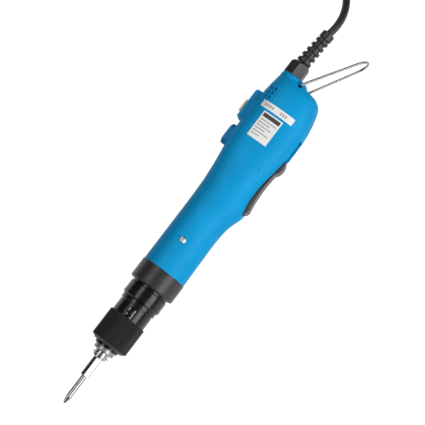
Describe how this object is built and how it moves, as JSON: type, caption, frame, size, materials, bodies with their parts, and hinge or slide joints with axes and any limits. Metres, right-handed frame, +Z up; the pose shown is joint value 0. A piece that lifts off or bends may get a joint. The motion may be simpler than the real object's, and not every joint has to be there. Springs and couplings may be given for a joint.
{
  "type": "electric torque screwdriver",
  "caption": "Cable-fed electric torque screwdriver with a moulded two-shell grip, start lever, knurled torque ring, hex bit and a wire hanger.",
  "frame": {"origin": "on the tool axis, halfway along the black clamping collar behind the gear case", "axes": "+X along the tool axis towards the bit, +Y towards the start lever, +Z up through the labelled shell; the tool lies on its side"},
  "size_m": [0.4986, 0.0909, 0.0383],
  "materials": {
    "blue_housing": "moulded, fine texture",
    "black_plastic": "moulded, satin",
    "black_metal": "black oxide, satin",
    "grey_metal": "phosphated",
    "bright_steel": "polished",
    "machined_steel": "machined",
    "brass": "machined",
    "copper": "enamelled winding",
    "magnet_grey": "ground",
    "cable_rubber": "satin",
    "white_label": "printed film",
    "yellow_plastic": "moulded",
    "white_plastic": "moulded",
    "dark_plastic": "moulded",
    "green_board": "solder mask"
  },
  "bodies": {
    "frame": {"gear_case": "black_metal", "output_bearing": "brass", "ring_gear": "machined_steel", "scale_sleeve": "black_metal", "clutch_spring": "machined_steel", "motor_can": "machined_steel", "motor_magnets": "magnet_grey", "motor_bushes": "brass", "motor_end_cap": "black_plastic", "motor_brushes": "magnet_grey", "clamping_collar": "black_metal", "housing_upper": "blue_housing", "housing_lower": "blue_housing", "housing_screws": "bright_steel", "lever_pin": "machined_steel", "lever_spring": "machined_steel", "start_switch": "black_plastic", "button_switch": "black_plastic", "direction_switch": "dark_plastic", "circuit_board": "green_board", "gland_body": "black_plastic", "gland_nut": "black_plastic", "strain_relief": "cable_rubber", "rating_label": "white_label", "strip_label": "white_label", "cord_run": "cable_rubber", "cord_coil": "cable_rubber", "cord_tail": "cable_rubber", "cord_tie": "black_plastic", "plug_body": "black_plastic", "plug_insert": "brass"},
    "rotor": {"rotor_shaft": "machined_steel", "rotor_core": "copper", "commutator": "copper"},
    "input_carrier": {"input_carrier": "machined_steel"},
    "input_planet_1": {"input_planet_1": "brass"},
    "input_planet_2": {"input_planet_2": "brass"},
    "input_planet_3": {"input_planet_3": "brass"},
    "output_carrier": {"output_carrier": "machined_steel", "drive_cam": "machined_steel"},
    "output_planet_1": {"output_planet_1": "machined_steel"},
    "output_planet_2": {"output_planet_2": "machined_steel"},
    "output_planet_3": {"output_planet_3": "machined_steel"},
    "spindle": {"output_spindle": "machined_steel", "screwdriver_bit": "bright_steel", "detent_ball": "machined_steel", "retaining_ring": "grey_metal", "thrust_plate": "machined_steel", "clutch_balls": "machined_steel", "sleeve_spring": "machined_steel"},
    "bit_sleeve": {"bit_sleeve": "bright_steel"},
    "spring_seat": {"spring_seat": "black_metal", "nose_bush": "brass", "lock_ring": "grey_metal"},
    "torque_ring": {"torque_ring": "black_metal"},
    "start_lever": {"start_lever": "black_plastic"},
    "switch_plunger": {"switch_plunger": "white_plastic"},
    "push_button": {"push_button": "blue_housing"},
    "direction_slider": {"direction_slider": "yellow_plastic"},
    "hanger_bail": {"hanger_bail": "bright_steel"}
  },
  "joints": [
    {"name": "rotor_spin", "type": "hinge", "parent": "frame", "child": "rotor", "pos_m": [-0.07, 0, 0], "axis": [1, 0, 0], "continuous": true},
    {"name": "input_carrier_spin", "type": "hinge", "parent": "frame", "child": "input_carrier", "pos_m": [-0.005, 0, 0], "axis": [1, 0, 0], "continuous": true},
    {"name": "output_carrier_spin", "type": "hinge", "parent": "frame", "child": "output_carrier", "pos_m": [0.012, 0, 0], "axis": [1, 0, 0], "continuous": true},
    {"name": "spindle_spin", "type": "hinge", "parent": "frame", "child": "spindle", "pos_m": [0.05, 0, 0], "axis": [1, 0, 0], "continuous": true},
    {"name": "input_planet_1_spin", "type": "hinge", "parent": "input_carrier", "child": "input_planet_1", "pos_m": [-0.0086, 0, -0.0075], "axis": [1, 0, 0], "continuous": true},
    {"name": "input_planet_2_spin", "type": "hinge", "parent": "input_carrier", "child": "input_planet_2", "pos_m": [-0.0086, 0.0065, 0.00375], "axis": [1, 0, 0], "continuous": true},
    {"name": "input_planet_3_spin", "type": "hinge", "parent": "input_carrier", "child": "input_planet_3", "pos_m": [-0.0086, -0.0065, 0.00375], "axis": [1, 0, 0], "continuous": true},
    {"name": "output_planet_1_spin", "type": "hinge", "parent": "output_carrier", "child": "output_planet_1", "pos_m": [0.0015, 0, -0.0075], "axis": [1, 0, 0], "continuous": true},
    {"name": "output_planet_2_spin", "type": "hinge", "parent": "output_carrier", "child": "output_planet_2", "pos_m": [0.0015, 0.0065, 0.00375], "axis": [1, 0, 0], "continuous": true},
    {"name": "output_planet_3_spin", "type": "hinge", "parent": "output_carrier", "child": "output_planet_3", "pos_m": [0.0015, -0.0065, 0.00375], "axis": [1, 0, 0], "continuous": true},
    {"name": "bit_sleeve_slide", "type": "slide", "parent": "spindle", "child": "bit_sleeve", "axis": [-1, 0, 0], "range_m": [0, 0.0022], "stiffness_N_per_m": 400, "springref_m": -0.004, "deforming": ["sleeve_spring"]},
    {"name": "torque_advance", "type": "slide", "parent": "frame", "child": "spring_seat", "axis": [1, 0, 0], "range_m": [-0.008, 0], "deforming": ["clutch_spring"]},
    {"name": "torque_turn", "type": "hinge", "parent": "spring_seat", "child": "torque_ring", "pos_m": [0.05, 0, 0], "axis": [1, 0, 0], "range_deg": [-2844, 0]},
    {"name": "start_lever_press", "type": "hinge", "parent": "frame", "child": "start_lever", "pos_m": [-0.127, 0.0202, 0], "axis": [0, 0, 1], "range_deg": [-3.6, 0], "stiffness_Nm_per_rad": 0.2, "springref_deg": 6.88, "deforming": ["lever_spring"]},
    {"name": "switch_plunger_slide", "type": "slide", "parent": "frame", "child": "switch_plunger", "axis": [0, 1, 0], "range_m": [-0.0009, 0]},
    {"name": "push_button_press", "type": "slide", "parent": "frame", "child": "push_button", "axis": [0, 1, 0], "range_m": [0, 0.0015], "stiffness_N_per_m": 200, "springref_m": -0.004},
    {"name": "direction_slide", "type": "slide", "parent": "frame", "child": "direction_slider", "axis": [1, 0, 0], "range_m": [-0.0025, 0.0025]},
    {"name": "hanger_swing", "type": "hinge", "parent": "frame", "child": "hanger_bail", "pos_m": [-0.1852, -0.0007, 0], "axis": [0, 0, 1], "range_deg": [-43, 27]}
  ],
  "couplings": [
    {"joint": "input_carrier_spin", "follows": "rotor_spin", "ratio": 0.2},
    {"joint": "output_carrier_spin", "follows": "rotor_spin", "ratio": 0.04},
    {"joint": "spindle_spin", "follows": "rotor_spin", "ratio": 0.04},
    {"joint": "input_planet_1_spin", "follows": "rotor_spin", "ratio": -0.53333},
    {"joint": "output_planet_1_spin", "follows": "rotor_spin", "ratio": -0.10667},
    {"joint": "input_planet_2_spin", "follows": "rotor_spin", "ratio": -0.53333},
    {"joint": "output_planet_2_spin", "follows": "rotor_spin", "ratio": -0.10667},
    {"joint": "input_planet_3_spin", "follows": "rotor_spin", "ratio": -0.53333},
    {"joint": "output_planet_3_spin", "follows": "rotor_spin", "ratio": -0.10667},
    {"joint": "torque_advance", "follows": "torque_turn", "m_per_rad": 0.00015915},
    {"joint": "switch_plunger_slide", "follows": "start_lever_press", "m_per_rad": 0.012}
  ]
}
